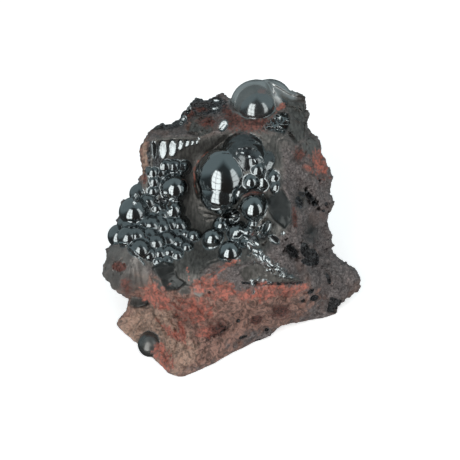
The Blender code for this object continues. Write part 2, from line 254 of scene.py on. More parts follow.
SMALL_ONES = [
    (-20.2, 1.4, 3.2), (-23.6, 1.8, 2.8), (-26.8, 0.6, 3.1), (-31, 1.4, 3.2), (-34.4, 1.6, 2.8),
    (-36.6, -2.6, 3.1), (-31.8, -2.6, 2.9), (-29, -5.4, 3), (-24.7, -4.4, 3.2), (-20.7, -5.6, 2.7),
    (-39.8, -3, 3.4), (-35, -7.6, 3.1), (-27.6, -9.4, 2.4), (-23.8, -9, 2.4), (-31.4, -9.6, 2.2),
    (-20.6, -10, 1.9), (-17.6, -1.8, 2), (-28, 3.4, 2.2), (-21, -2.2, 2.2), (-33.4, -5.4, 2.2),
    (-38.6, 1.2, 3), (-24.6, -12.2, 1.8), (-28.2, -12.4, 1.7), (-17, -6.8, 1.8), (-41.4, 2.4, 2.4),
    (6.6, -5, 2.2), (0.4, 2.8, 2), (7.2, -1, 2), (9.2, 2.2, 1.8), (2.4, 4.8, 2), (11, 23.6, 2.6),
    (17.6, 20.6, 2.4), (6, 12, 2), (18.3, 16.8, 2.2), (10.6, 15.6, 2.4), (-25.8, 25.6, 2.6),
    (-22.4, 25.4, 2.6), (-19, 25.2, 2.4), (-27.6, 22.6, 2), (-20.4, 22.4, 1.8), (-30.6, 23, 2.1),
    (-30.2, 19.4, 2.1), (-30.6, 15.6, 2.1), (-36, 14.4, 3), (-32.4, 11, 2.6), (-29, 8.6, 2.2),
    (-26.6, 5.6, 2),
]
SMALL_SUNK = 0.55
SMALL_SWELL = 1.38
SMALL_GLOSS = 0.75
BEDS = [
    (-28, -3, 13, 9, 1.2, 1.9, 16),
    (5.5, -3, 5, 4, 1, 1.5, 5),
]
BED_SEED = 11
CROWDING = 0.62


def scatter_beds():
    """More small growths in the gaps, as (across, up, radius), clear of the others by a share of radii."""
    picker = random.Random(BED_SEED)
    kept = [(across, up, radius * SMALL_SWELL) for across, up, radius in SMALL_ONES]
    for across, up, half_width, half_height, least, most, count in BEDS:
        wanted = len(kept) + count
        for _ in range(count * 60):
            turn, reach = picker.uniform(0, math.tau), math.sqrt(picker.random())
            radius = picker.uniform(least, most)
            here = (across + half_width * reach * math.cos(turn), up + half_height * reach * math.sin(turn))
            others = kept + DOMES[3:]
            if all(math.dist(here, other[:2]) > CROWDING * (radius + other[2]) for other in others):
                kept.append((*here, radius))
            if len(kept) == wanted:
                break
    return kept


def centre_of(tree, across, up, radius, sunk):
    """Centre of a growth that lies under the surface by a share of its radius."""
    surface = tree.ray_cast(place(across, up, 100.0), -OUTWARD)[0]
    return surface - OUTWARD * sunk * radius * MM


balls = [(centre_of(solid, *growth[:4]), growth[2] * MM, growth[4]) for growth in DOMES]
for growth in scatter_beds():
    balls.append((centre_of(floor_of_hollow, *growth, SMALL_SUNK), growth[2] * MM, SMALL_GLOSS))
print("growths:", len(balls))

# %% [markdown]
# One ball is modelled once, from an ico sphere, and copied to every place at its own size. All the copies
# are joined to the block, and a finer voxel remesh fuses the lot into one closed skin, as they grew.

# %% Fuse the growths to the block
SKIN_SPACING = 0.42
pick(block)
bpy.ops.object.select_all(action="DESELECT")
bpy.ops.mesh.primitive_ico_sphere_add(subdivisions=4, radius=1.0)
pattern = bpy.context.active_object
copies = []
for centre, radius, _ in balls:
    ball = bpy.data.objects.new("ball", pattern.data.copy())
    bpy.context.scene.collection.objects.link(ball)
    ball.location = centre
    ball.scale = (radius,) * 3
    copies.append(ball)
bpy.data.objects.remove(pattern)
pick(*copies)
bpy.ops.object.transform_apply(location=True, rotation=True, scale=True)
pick(block, *copies)
bpy.ops.object.join()
apply_modifier(block, "REMESH", mode="VOXEL", voxel_size=SKIN_SPACING * MM)
apply_modifier(block, "SMOOTH", factor=0.5, iterations=3)
print("fused vertices:", len(block.data.vertices))

# %% [markdown]
# A remesh leaves tiny steps that a mirror finish would show. So each vertex near a ball is drawn exactly
# on to it, with a slow ripple of the radius, because real growths are never quite true. A growth's upper
# side runs into the rock, so there the skin keeps its smooth hollow and isn't drawn in.

# %% Draw the skin on to the growths
NEAR = 0.22
RIPPLE = 0.018
RIPPLE_SIZE = 5.0
UPWARD = np.array(place(0, 1, 0) - place(0, 0, 0)) / MM


def nearest_ball(points):
    """For each point the ball that it lies deepest in or nearest to, and its gap to it in metres."""
    best = np.full(len(points), np.inf)
    which = np.zeros(len(points), int)
    for index, (centre, radius, _) in enumerate(balls):
        gap = np.linalg.norm(points - np.array(centre), axis=1) - radius
        closer = gap < best
        best[closer], which[closer] = gap[closer], index
    return which, best


points = read_vertices(block)
which, gap = nearest_ball(points)
on_ball = np.abs(gap) < NEAR * MM
centres = np.array([centre for centre, _, _ in balls])[which]
radii = np.array([radius for _, radius, _ in balls])[which]
ripple = np.array([noise.noise(Vector(point) / (RIPPLE_SIZE * MM)) if near else 0.0
                   for point, near in zip(points, on_ball)])
arms = points - centres
arms /= np.linalg.norm(arms, axis=1)[:, None]
true_place = centres + arms * (radii * (1 + RIPPLE * ripple))[:, None]
side = arms @ np.array(OUTWARD) - arms @ UPWARD * 0.6
drawn = (on_ball * step(-0.25, 0.25, side))[:, None]
write_vertices(block, points + (true_place - points) * drawn)
print("vertices on growths:", int(on_ball.sum()))

# %% [markdown]
# Broken ore is chipped into small flat facets. Each vertex of the dull faces is raised by the facet it
# lies on: a cell of a Voronoi pattern whose top leans in a direction of its own. Three sizes of cell are
# used, with a little crumbly noise over them. Small round pits are let in where another Voronoi pattern
# has the middles of its cells.

# %% Chip the broken faces
FACETS = [(8.0, 0.3), (3.6, 0.4), (1.7, 0.45)]
FACET_SHUFFLE = 97.0
CRUMB_SIZE = 1.3
CRUMB_HEIGHT = 0.26
PIT_SPACING = 3.4
PIT_SHARE = 0.16
PIT_DEPTH = 0.9


def facet_height(point, size, lean):
    """How far a point is raised by the facet it lies on, in metres."""
    middle = noise.voronoi(point / (size * MM))[1][0]
    direction = noise.cell_vector(middle * FACET_SHUFFLE) - Vector((0.5, 0.5, 0.5))
    return direction.dot(point / (size * MM) - middle) * size * lean * MM


def rock_height(point):
    """The height of all the facets, crumbs and pits at a point of the broken faces, in metres."""
    pit = max(0.0, 1.0 - noise.voronoi(point / (PIT_SPACING * MM))[0][0] / PIT_SHARE)
    crumbs = noise.fractal(point / (CRUMB_SIZE * MM), 0.9, 2.0, 3) * CRUMB_HEIGHT * MM
    facets = sum(facet_height(point, size, lean) for size, lean in FACETS)
    return crumbs + facets - min(pit * 2.0, 1.0) * PIT_DEPTH * MM


def dull_share(obj):
    """1 on broken faces, 0 in the hollow, on the lobe, on a growth and on the rest face."""
    points = read_vertices(obj)
    _, gap = nearest_ball(points)
    off_ball = step(0.3, 0.8, np.abs(gap) / MM)
    smooth = np.maximum(hollow_share(obj), outline_share(obj, LOBE_FACE))
    return (1.0 - smooth) * off_ball * step(0.5, 3.0, points[:, 2] / MM)


points = read_vertices(block)
normals = read_vertices(block, "normal")
dull = dull_share(block)
heights = np.array([rock_height(Vector(point)) if share > 0 else 0.0 for point, share in zip(points, dull)])
write_vertices(block, points + normals * (heights * dull)[:, None])
print("chips from", round(heights.min() / MM, 2), "to", round(heights.max() / MM, 2), "mm")

# %% [markdown]
# Some breaks are flat and clean, like cut glass. Each has the finish that it shows, how far it leans
# across and up, how far it is pushed out, and its outline. Inside the outline a plane is fitted through
# the vertices by least squares, leant and pushed, and the vertices are moved towards it. Only the
# outermost layer counts, so that a fold hidden behind it doesn't pull the plane back.

# %% Flat breaks
MOST_FLATTENING = 1.6
LAYER = 7.0
HONEYCOMB = [(12.6, 39.6), (15.8, 43.5), (19.8, 46.6), (22.8, 46), (23.6, 42), (21.3, 37.6), (17.8, 38.4)]
FLATS = [
    ("slate", -0.3, 0.3, -0.6, [(-30.5, -15), (-26, -12.2), (-22.2, -13.4), (-20.3, -18.6),
        (-17.2, -20.5), (-20.5, -23.4), (-25.3, -23.8), (-27.2, -19.6)]),
    ("pale", 0.5, -0.3, 0.2, [(-30.8, -18.6), (-27.4, -19.6), (-24.6, -23.4), (-26.6, -24.2),
        (-29.8, -21.8)]),
    ("pale", 0, 0.3, 0.7, [(-20.5, -24), (-17.8, -21.2), (-15, -21.9), (-15.4, -24.6), (-18.5, -25.7)]),
    ("pale", -0.3, 0.2, 0.6, [(-14.4, -21.4), (-11.4, -20.8), (-9.8, -23.6), (-11.6, -26.4),
        (-14.2, -25.2)]),
    ("satin", -0.3, 0.4, -0.3, [(-39.2, -26.3), (-32.9, -27), (-32, -29.4), (-37, -31), (-40, -30)]),
    ("slate", 0, 0.15, -0.4, [(14.4, 12.4), (20.1, 15.8), (23.8, 10.3), (24, 2.5), (21.1, 0.6),
        (16.7, 4.5), (14.6, 8.6)]),
    ("pale", 0.2, 0.2, 0.3, [(28, 33.2), (31.8, 37.2), (35, 35.6), (35.2, 32.2), (32.8, 28.6),
        (28.9, 29.8)]),
    ("dark", 0.2, -0.2, 0, [(40, -26.6), (45, -28.2), (46, -34), (39, -33)]),
    ("pale", -0.1, 0.5, 0, [(14.8, 60), (26, 53.6), (30.6, 54), (29.4, 51.6), (23, 51), (17.4, 54.6)]),
    ("satin", 0, 0, -0.6, [(22.8, 52), (29.8, 50.6), (30.6, 44.6), (26.4, 43), (22.6, 46.8)]),
    ("satin", 0.2, 0.1, -0.4, [(23.4, 44.4), (26.4, 43), (30.4, 44.2), (29.8, 36.8), (25.6, 33.4),
        (22.6, 37)]),
    ("slate", 0, 0.1, 0, HONEYCOMB),
    ("pale", 0, 0, 0.3, [(30.4, 53.4), (35.6, 52.4), (36, 46), (32.4, 44.8), (31, 48.4)]),
    ("dark", 0.1, 0.5, 0.5, [(-19.4, 50.2), (-12, 55.6), (-6, 54.6), (-8, 49.8), (-15.8, 48)]),
    ("satin", 0, -0.2, -0.8, [(-15, 45.6), (-7.2, 45.4), (-6.6, 38.6), (-11.6, 36.6), (-16.8, 38.2)]),
    ("satin", 0, 0.1, 0.2, [(-31, 50), (-23, 49), (-22.4, 40), (-32, 39.6)]),
    ("satin", 0.1, 0.2, 0.2, [(4.8, -14.4), (10, -12.6), (19, -16), (27, -19), (27.5, -20.6), (16, -20.4),
        (6, -20.2), (3.6, -17)]),
]


def move_out(obj, distance):
    """Moves each vertex out of the front face by its own distance in millimetres."""
    write_vertices(obj, read_vertices(obj) + distance[:, None] * MM * np.array(OUTWARD))


def outermost(out, inside):
    """Which of the vertices inside lie in the outermost layer, and not on a face hidden far behind it."""
    return inside & (out > out[inside].max() - LAYER)


def flatten(obj, outline, lean_across, lean_up, push):
    """Moves vertices inside an outline towards a plane fitted through them, but only by so much."""
    share = outline_share(obj, outline, 0.35) * facing_out(obj, 0.25)
    across, up, out = to_face(read_vertices(obj))
    inside = outermost(out, share > 0.4)
    columns = np.column_stack([np.ones(len(across)), across, up])
    plane = np.linalg.lstsq(columns[inside], out[inside], rcond=None)[0]
    lean = lean_across * (across - across[inside].mean()) + lean_up * (up - up[inside].mean())
    move_out(obj, np.clip(columns @ plane + lean + push - out, -MOST_FLATTENING, MOST_FLATTENING) * share)


for finish, lean_across, lean_up, push, outline in FLATS:
    flatten(block, outline, lean_across, lean_up, push)
print("flat breaks:", len(FLATS))

# %% [markdown]
# Holes and torn slots come next, under the finish inside them. The dark finish in them is partly the
# stone's near-black iron and partly painted shade that deepens the holes. Each is an ellipse: across, up,
# half width, half height, turn in degrees and depth. Noise pushes its edge in and out, so that no two
# look alike, and its sides fall steeply.
# The noise gets a seed, because Blender's vector noise otherwise starts from the clock and comes out
# differently at every run.

# %% Holes
HOLES = {
    "dark": [
        (31.9, 12.6, 1.1, 4.2, 36, 3.2), (24.3, -8.3, 3.4, 1.7, -48, 2.8), (29.6, -8, 1.9, 3.4, 20, 1.8),
        (33.2, -10.6, 1.9, 3.6, 25, 1.5), (31, -12.6, 3.2, 1.5, -10, 1.3),
        (35.7, 19.8, 0.9, 0.6, -30, 0.9), (27, 10.8, 1.3, 2.6, 15, 0.9),
        (28.2, 14.2, 1.6, 0.9, -20, 0.8), (38.4, 10.3, 0.8, 0.9, 0, 1), (37.2, 7.6, 0.7, 0.6, 0, 0.8),
        (39.1, -19.4, 0.8, 2.6, 20, 1.6), (31.8, -24.2, 1.6, 1, 30, 1), (28.9, -28, 0.9, 0.7, 30, 1),
        (33.4, -27, 2, 1.2, 20, 1.2), (-26.2, 11.6, 2.2, 2, 0, 1.6), (13.2, -0.2, 2.6, 3.4, -25, 1.8),
        (-4.6, -39.2, 3.6, 1.3, 30, 1.6), (-8.6, -41, 1.4, 2, 10, 1.2), (3.2, -35.6, 0.9, 0.7, 20, 0.9),
        (14.6, -39.6, 1, 0.7, 20, 0.8), (5.1, -42.3, 1.8, 0.6, 15, 0.9), (11.2, -44, 1.6, 0.5, 10, 0.8),
        (-8, -24.2, 0.7, 0.5, 0, 0.7),
    ],
    "wine": [(-43.5, -14.4, 3.3, 1.9, 0, 1.4), (10.4, -35.2, 2.4, 2, 30, 0.5)],
}
RAGGED = 1.7
RAGGED_SIZES = [(2.2, 1.0), (0.9, 0.7)]
RAGGED_SEED = 7
noise.seed_set(RAGGED_SEED)


def raggedness(points):
    """Three noises from about -0.7 to 0.7 for each vertex, in columns, to break up edges and bend lines."""
    rows = []
    for point in points:
        sizes = [noise.noise_vector(Vector(point) / (size * MM)) * share for size, share in RAGGED_SIZES]
        rows.append(tuple(sum(sizes, Vector())))
    return np.array(rows)


def reach_of(across, up, middle_across, middle_up, half_width, half_height, turn):
    """How far a place is from the middle of an ellipse: 0 there and 1 on its edge."""
    cos, sin = math.cos(math.radians(turn)), math.sin(math.radians(turn))
    da, du = across - middle_across, up - middle_up
    return np.hypot((da * cos + du * sin) / half_width, (du * cos - da * sin) / half_height)


points = read_vertices(block)
across, up, _ = to_face(points)
ragged = raggedness(points)
front = facing_out(block, -0.1)
sinking = np.zeros(len(points))
for *shape, depth in sum(HOLES.values(), []):
    reach = reach_of(across, up, *shape)
    sinking = np.maximum(sinking, depth * step(1.1, 0.6, reach + ragged[:, 2] * RAGGED * (reach < 2.0)))
move_out(block, -sinking * front)
print("deepest hole in mm:", round(float(sinking.max()), 1))

# %% [markdown]
# Edges, grooves and wrinkles follow lines. Each has the finish that it shows, or none of its own, a
# height, which is negative for a groove, half a width, how far noise bends it, and its points. The moat
# round the great ball and the crumpled bright edge at the foot of the hollow are made this way, and the
# ribs of the lobe, which run from near one root to tips along its edge.

# %% Edges and grooves
def arc(middle_across, middle_up, radius, first, last, steps=8):
    """Points along part of a circle, from one angle to another in degrees."""
    turns = [math.radians(first + (last - first) * index / steps) for index in range(steps + 1)]
    return [(middle_across + radius * math.cos(turn), middle_up + radius * math.sin(turn))
            for turn in turns]


FAN_TIPS = [(-50, -17), (-48.6, -21), (-45, -23.6), (-41, -24.8), (-37.6, -24), (-35, -22)]
FAN_ROOT = (-37, -6)
ROOT_SHARE, TIP_SHARE = 0.55, 0.45
fan = []
for tip in FAN_TIPS:
    start = tuple(ROOT_SHARE * root + TIP_SHARE * end for root, end in zip(FAN_ROOT, tip))
    fan.append(("none", 0.7, 0.9, 0.3, [start, tip]))
LINES = fan + [
    ("none", 0.35, 1, 0.8, arc(6.6, 26.4, 6.4, 40, 140)),
    ("none", 0.4, 1, 0.8, arc(6.6, 27.6, 8.2, 50, 160)),
    ("none", 0.4, 1, 0.8, arc(7, 28.6, 9.8, 40, 165)),
    ("none", -0.5, 0.8, 0.6, arc(7, 29.2, 10.8, 60, 165)),
    ("none", 0.4, 0.9, 0.8, arc(7.8, 30.6, 12, 40, 130)),
    ("none", 0.3, 0.5, 0.2, arc(-2.5, 21.5, 8.2, 40, 140)),
    ("none", 0.45, 0.5, 0.1, arc(9.6, 49.6, 8, 70, 190)),
    ("satin", -1.5, 1.5, 0.2, [(-2, 36), (-8.4, 30.6), (-12, 25), (-13.2, 19), (-12, 13.6)]),
    ("satin", -1.1, 1, 0.2, [(3.2, 9), (4.6, 12.8), (8.4, 14.8), (12.4, 14.2), (15.2, 11)]),
    ("glass", 1.3, 0.7, 1.2, [(4, 0), (7.9, -5.1), (12.6, -11.1), (17, -14.6), (22.6, -18.4)]),
    ("glass", 1, 0.6, 1.5, [(8.6, -4.2), (12, -9), (16.6, -12.4), (22, -16.2), (25, -18.6)]),
    ("glass", 0.8, 0.5, 1.8, [(6.4, -6.6), (10.4, -11.6), (16, -16.4), (20, -17.4)]),
    ("glass", 1, 0.6, 1.2, [(8, -19.6), (9, -22.4), (7.6, -25.4)]),
    ("glass", 0.9, 0.6, 1, [(8.6, -20), (11.4, -19), (12.8, -21), (11, -23.4), (8.8, -22.6)]),
    ("glass", 0.8, 0.6, 0.6, [(13.2, -19.2), (15.4, -20.6)]),
    ("glass", 0.9, 0.6, 0.1, [(-45.8, -5.4), (-40.4, -5.2), (-37, -8.8), (-33.4, -13.6)]),
    ("pale", 0.8, 0.5, 0.1, [(-31, 25), (-30.6, 33), (-28.4, 35.6), (-22, 36), (-13.6, 36.4)]),
    ("none", 1.5, 0.9, 0.9, [(-27, -31), (-22, -34), (-19, -39), (-18.6, -46), (-22, -52)]),
    ("none", -1.3, 0.8, 0.9, [(-24.6, -33), (-21, -38), (-20.6, -45), (-24, -51)]),
    ("none", 1.4, 0.9, 0.9, [(-23, -29), (-17, -33), (-13.6, -39), (-13, -46)]),
    ("none", 1.3, 0.8, 0.9, [(-16, -29), (-10.6, -33), (-8.4, -38)]),
    ("none", -1.2, 0.8, 0.9, [(-30, -33), (-27, -37), (-25, -42)]),
    ("satin", 0.7, 0.6, 0.4, [(-12, -15), (-11, -19), (-11.6, -23)]),
    ("satin", -0.8, 0.7, 0.2, [(-11.4, -16.4), (-8.6, -12.8), (-3, -11), (0, -12.2), (4, -13.4)]),
    ("dark", -1.2, 0.7, 0.3, [(5, -20.4), (12, -20.8), (20, -20.8), (28, -20.6)]),
    ("pale", 0.6, 0.5, 0.3, [(9.8, 0.8), (13, 4.6), (15.6, 1), (17.6, -2.6), (12.4, 0.6), (10.4, -2.2)]),
    ("satin", 0.6, 0.7, 0.3, [(-10, 6.4), (-4, 5.2), (3, 6.2)]),
    ("satin", 0.6, 0.7, 0.3, [(-9, 4), (-4, 4.9), (1.6, 4.4)]),
    ("satin", 0.5, 0.7, 0.3, [(-12, 9.4), (-6, 7.6), (2, 8.6)]),
    ("pale", 1, 0.8, 0.1, [(13.4, 60), (18, 57.6), (24, 54.4), (31, 53.2)]),
    ("dark", 1.1, 0.8, 0.8, [(-20, 49), (-14, 51.6), (-8, 51.4)]),
    ("dark", 1.1, 0.8, 0.8, [(-18, 46.8), (-12, 49), (-5, 49.2)]),
    ("dark", 0.9, 0.7, 0.8, [(-24, 45), (-20, 47.4), (-16, 47)]),
    ("tan", 0.9, 1, 0.1, [(-38, -41.8), (-36.4, -38.8), (-32, -37.4), (-27.6, -39), (-25.2, -43)]),
]


def line_share(line, half_width, bend):
    """1 along the middle of a line and 0 beyond half its width, after noise has bent it."""
    distance = line_distance(across + ragged[:, 0] * bend, up + ragged[:, 1] * bend, line)
    return step(half_width, 0.0, distance)


raising = np.zeros(len(points))
for _, height, half_width, bend, line in LINES:
    raising += height * line_share(line, half_width, bend)
move_out(block, raising * front)
print("edges and grooves:", len(LINES))

# %% [markdown]
# Under the top dome at the right lies a patch of small open cells with thin bright walls, like a
# honeycomb. They are a Voronoi pattern: the vertices in a cell sink, and those near the border of two
# cells stay.

# %% Honeycomb of crystals
CELL_SIZE = 3.6
CELL_DEPTH = 2.2
WALL = 0.1


def wall_share(points):
    """1 in the walls between the cells of a Voronoi pattern and 0 inside a cell, for each vertex."""
    spans = np.array([noise.voronoi(Vector(point) / (CELL_SIZE * MM))[0][:2] for point in points])
    return step(WALL * 2.0, WALL * 0.5, spans[:, 1] - spans[:, 0])


comb = outline_share(block, HONEYCOMB, 0.4)
move_out(block, -CELL_DEPTH * comb * (1.0 - wall_share(read_vertices(block))))
print("vertices in the honeycomb:", int((comb > 0.5).sum()))

# %% [markdown]
# A few places send the light of a window straight back: the row of panes in the glossy pocket at the
# upper left, two at the slot on the right, and a sprinkle of small crystal faces. Each is an ellipse,
# a little hollow like a saucer, with the slopes across and up that its face gets, whatever the slope of
# the rock there. More faces are scattered along the crumpled edge by a seeded draw.

# %% Pockets and crystal faces
POCKETS = [
    (-30, 31.6, 1.2, 3.8, 0, 0.2, -0.3, 0.3), (-26.6, 31.8, 1.9, 3.8, 0, 0.2, 0.34, 0.3),
    (-22.8, 32.4, 1.8, 3.5, 0, 0.2, 0.34, 0.3), (-19.6, 33.6, 1.2, 2.2, 0, 0.2, 0.34, 0.3),
    (-17, 34.2, 1, 1.5, 0, 0.2, 0.3, 0.3), (-14.9, 34.5, 0.8, 1.1, 0, 0.2, 0.3, 0.3),
    (-13.2, 34.7, 0.6, 0.9, 0, 0.2, 0.3, 0.3), (14.2, 1, 1.7, 3, -25, 1, -0.35, 0.35),
    (17, -3.6, 2.8, 1.5, -35, 0.3, -0.3, 0.3),
]
CRUMPLED = [(4.6, -1.4), (8.2, -5.2), (12.4, -10.6), (16.6, -13.8), (22.6, -18.2)]
CRUMPLED_SEED = 5
GLINTS = [
    (-16.6, 48.4, 1, 2, -20, 0.4, 0.3, 0.3), (-18.4, 44.6, 1.1, 1.6, -20, 0.4, 0.35, 0.2),
    (-19.6, 42.6, 0.8, 1, 0, 0.3, 0.3, 0.3), (-2.6, 41.2, 1.7, 2.6, -25, 0.3, 0.3, 0.25),
    (-5.6, 52, 1.5, 0.6, 0, 0.2, 0.3, 0.4), (-5.8, 48.6, 1.6, 0.5, 0, 0.2, 0.3, 0.4),
    (-12.4, 36, 0.6, 0.5, 0, 0.2, 0.3, 0.3), (4.8, 30, 0.7, 0.4, -20, 0.1, 0.3, 0.3),
    (7.4, 28.6, 0.9, 0.5, 30, 0.1, 0.3, 0.3), (9.6, 27, 0.6, 0.8, 0, 0.1, 0.3, 0.3),
    (12, 28.4, 0.9, 0.4, -25, 0.1, 0.3, 0.3), (19, 44, 1, 0.8, 30, 0.2, 0.3, 0.3),
    (18.4, 39.8, 0.7, 1.3, 0, 0.2, 0.3, 0.3), (-37.2, 13.2, 0.9, 1.6, 10, 0.3, 0.3, 0.2),
    (-37.6, 10.4, 0.9, 1.2, 0, 0.3, 0.3, 0.2), (-25.4, 14.8, 1, 0.8, 0, 0.2, 0.3, 0.3),
    (-28.6, 11.2, 1, 0.7, -30, 0.2, 0.3, 0.3), (-23, 12.4, 1.4, 0.5, 20, 0.2, 0.3, 0.3),
    (20.6, -1.2, 0.9, 0.8, 0, 0.3, 0.3, 0.3), (8.6, -20.6, 0.5, 1.1, 10, 0.1, 0.3, 0.3),
    (9.4, -24, 0.5, 1.3, -20, 0.1, 0.3, 0.3), (12.6, -19.8, 0.8, 0.5, 20, 0.1, 0.3, 0.3),
    (11.4, -22.6, 0.4, 0.9, 30, 0.1, 0.3, 0.3), (14.8, -20.6, 0.7, 0.5, 0, 0.1, 0.3, 0.3),
]


def scatter_glints():
    """Crystal faces along the crumpled edge, at seeded places, sizes and slopes."""
    picker = random.Random(CRUMPLED_SEED)
    rows = []
    for (a0, u0), (a1, u1) in zip(CRUMPLED, CRUMPLED[1:]):
        for share in (0.0, 0.2, 0.4, 0.6, 0.8):
            middle = (a0 + share * (a1 - a0) + picker.uniform(-1.3, 1.3),
                      u0 + share * (u1 - u0) + picker.uniform(-1.3, 1.3))
            size = (picker.uniform(1.1, 2.3), picker.uniform(0.4, 0.7))
            rows.append((*middle, *size, picker.uniform(-75, -15), 0.1, 0.32, 0.3))
    return rows


crystals = POCKETS + GLINTS + scatter_glints()
for *shape, depth, slope_across, slope_up in crystals:
    across, up, out = to_face(read_vertices(block))
    reach = reach_of(across, up, *shape)
    outer = outermost(out, (reach < 1.0) & (front > 0.5))
    middle = out[outer].mean()
    reach[np.abs(out - middle) > LAYER] = 2.0
    bowl = depth * (1.0 - np.clip(reach, 0.0, 1.0) ** 2)
    target = middle + slope_across * (across - shape[0]) + slope_up * (up - shape[1]) - bowl
    move_out(block, (target - out) * step(1.1, 0.85, reach) * front)
print("pockets and crystal faces:", len(crystals))

# %% [markdown]
# Carving may have pushed a few vertices through the rest face. They are lifted back on to it, so that the
# stone still stands flat on the floor.

# %% Keep the rest face flat
points = read_vertices(block)
below = points[:, 2] < 0.0
points[below, 2] = 0.0
write_vertices(block, points)
print("vertices lifted on to the rest face:", int(below.sum()))

# %% [markdown]
# The growths have to stay smooth, because any flat spot would show in a mirror, and the edges of the flat
# breaks and crystal faces have to stay crisp. The rest of the front can be a little coarser and the back
# much coarser. The Decimate modifier thins the mesh most where its vertex group is weak, and leaves it
# alone where the group is full.

# %% Thin the mesh
MOST_TRIANGLES = 190000
BACK_WEIGHT = 0.05
FRONT_WEIGHT = 0.75
CRISP_WIDTH = 0.8
CRISP_REACH = 1.3


def crisp_places(across, up):
    """Where a mesh has to keep its edges: at flat breaks, crystal faces and glassy lines."""
    crisp = np.zeros(len(across), bool)
    for *_, outline in FLATS:
        crisp |= np.abs(rim_distance(across, up, outline)) < CRISP_WIDTH
    for row in crystals:
        crisp |= reach_of(across, up, *row[:5]) < CRISP_REACH
    for finish, _, half_width, _, line in LINES:
        if finish == "glass":
            crisp |= line_distance(across, up, line) < half_width + CRISP_WIDTH
    return crisp


def triangle_count(obj):
    """How many triangles an object's faces make."""
    return sum(len(face.vertices) - 2 for face in obj.data.polygons)


points = read_vertices(block)
_, gap = nearest_ball(points)
across, up, _ = to_face(points)
facing = facing_out(block, -0.2)
full = (np.abs(gap) < NEAR * MM) | (crisp_places(across, up) & (facing > 0.5))
set_group(block, "keep_fine", np.where(full, 1.0, BACK_WEIGHT + (FRONT_WEIGHT - BACK_WEIGHT) * facing))
before = triangle_count(block)
apply_modifier(block, "DECIMATE", ratio=MOST_TRIANGLES / before, vertex_group="keep_fine",
               invert_vertex_group=True, vertex_group_factor=1.0)
pick(block)
bpy.ops.object.shade_smooth()
print("triangles before and after:", before, triangle_count(block))

# %% [markdown]
# The finish changes from place to place: mirror-black on the growths, satin brown between them, porous
# purple-grey on the right, brown and red earth below. Where each one lies is stored on the mesh as an
# attribute, one number for each vertex. A patch is an ellipse whose value is 1 in its middle, 0.5 at its
# edge and 0 well outside, so that the material can break the edge up with noise.

# %% Where each finish lies
PATCHES = {
    "red": [
        (-13.7, -30.8, 6.6, 4.4, 0), (-30.8, -24.6, 4.6, 3, 20), (-26.6, -28, 6, 2.6, -30),
        (-2.6, -23.8, 5.4, 2.6, 10), (6, -25, 4.4, 2.2, -5), (13.8, -24, 5, 2.8, 5),
        (22.6, -23.6, 4.4, 2.2, 8), (28.4, -22.8, 2.6, 1.6, 0), (-9.5, -21.4, 5, 2.6, 20),
        (-22.4, -40.6, 6, 1.6, -36), (-18.6, -39.6, 1.6, 4.6, 10), (-10.3, -39.4, 3, 2.4, 0),
        (-26, -50, 3, 5, 30), (35.7, 26.4, 3, 5, 20), (30.6, 24.4, 2.4, 1.1, -20),
        (19.6, 48.2, 2.6, 1.1, 35), (0.4, -12.6, 3.2, 0.7, 20),
    ],
    "wine": [
        (9, 41.6, 9, 3, 4), (1.8, 43.6, 4.4, 3, -20), (-0.6, 47, 2, 3, 20), (12.6, 54.7, 1.8, 1, 0),
        (-16, 46.6, 1.6, 2.2, 0), (-11.6, 48.4, 2.4, 0.9, 0), (-9, 43, 4, 2, 0), (9.8, 14.4, 4, 0.8, 10),
        (8.6, -3.4, 1.2, 2.6, 0), (25, 4.5, 0.9, 4.6, 5), (27, 29.6, 2.4, 2.4, 0),
        (-5.4, -38.4, 4, 3, 20), (-33.6, 21, 0.8, 3, 0), (-41, -22, 2, 3, 0), (20, -32, 4, 3, 0),
    ],
    "slate": [(32.1, -1, 2.4, 4, 0), (-34, -29, 3, 2, 0)],
    "pale": [(-31.4, -45.2, 3.4, 3.4, 0)],
    "brown": [
        (-20, -38, 26, 20, 0), (8, -32, 26, 9, 10), (-33, -24, 8, 4, 0), (-34, 28, 2.4, 9, 0),
        (-12, 41.6, 5, 4, 0),
    ],
    "tan": [(-33, -38, 12, 8, 20), (-22, -47, 9, 8, 20), (-33.6, 27, 1.2, 8, 0)],
    "dark": [
        (-22, 47, 10, 6, 25), (-10, 50, 9, 4, 0), (-38.6, 12, 3, 5, 0), (-29.6, 29, 3, 6, 10),
    ],
    "satin": [(18, 36, 7, 3, -20), (26.6, 42, 4.4, 9, 0), (28, 12, 2, 3, 0)],
}

# %% [markdown]
# A finish also shows on the flat breaks, holes and lines that were given its name. The function below
# takes the strongest of them all at each vertex. The places, raggedness and front that it reads are
# measured again first, because the mesh has been thinned.

# %% Measure the finishes
def store(obj, name, values):
    """Stores one number per vertex under a name that materials can read."""
    layer = obj.data.attributes.get(name) or obj.data.attributes.new(name, "FLOAT", "POINT")
    layer.data.foreach_set("value", np.ascontiguousarray(values, dtype=np.float32))


def finish_share(name):
    """How much a vertex shows a finish: the highest value of its patches, flat breaks, holes and lines."""
    share = np.zeros(len(across))
    for shape in PATCHES.get(name, []):
        share = np.maximum(share, np.clip(1.0 - reach_of(across, up, *shape) / 2.0, 0.0, 1.0))
    for finish, *_, outline in FLATS:
        if finish == name:
            share = np.maximum(share, step(-0.5, 0.5, rim_distance(across, up, outline)))
    for *shape, _ in HOLES.get(name, []):
        share = np.maximum(share, step(1.3, 0.7, reach_of(across, up, *shape)))
    for finish, _, half_width, bend, line in LINES:
        if finish == name:
            share = np.maximum(share, step(0.0, 0.5, line_share(line, 1.2 * half_width, bend)))
    return share * front


points = read_vertices(block)
across, up, _ = to_face(points)
ragged = raggedness(points)
front = facing_out(block, -0.1)
for name in ("brown", "tan", "dark", "slate", "wine"):
    share = finish_share(name)
    store(block, name, share)
    print(name, "on", int((share > 0.5).sum()), "vertices")

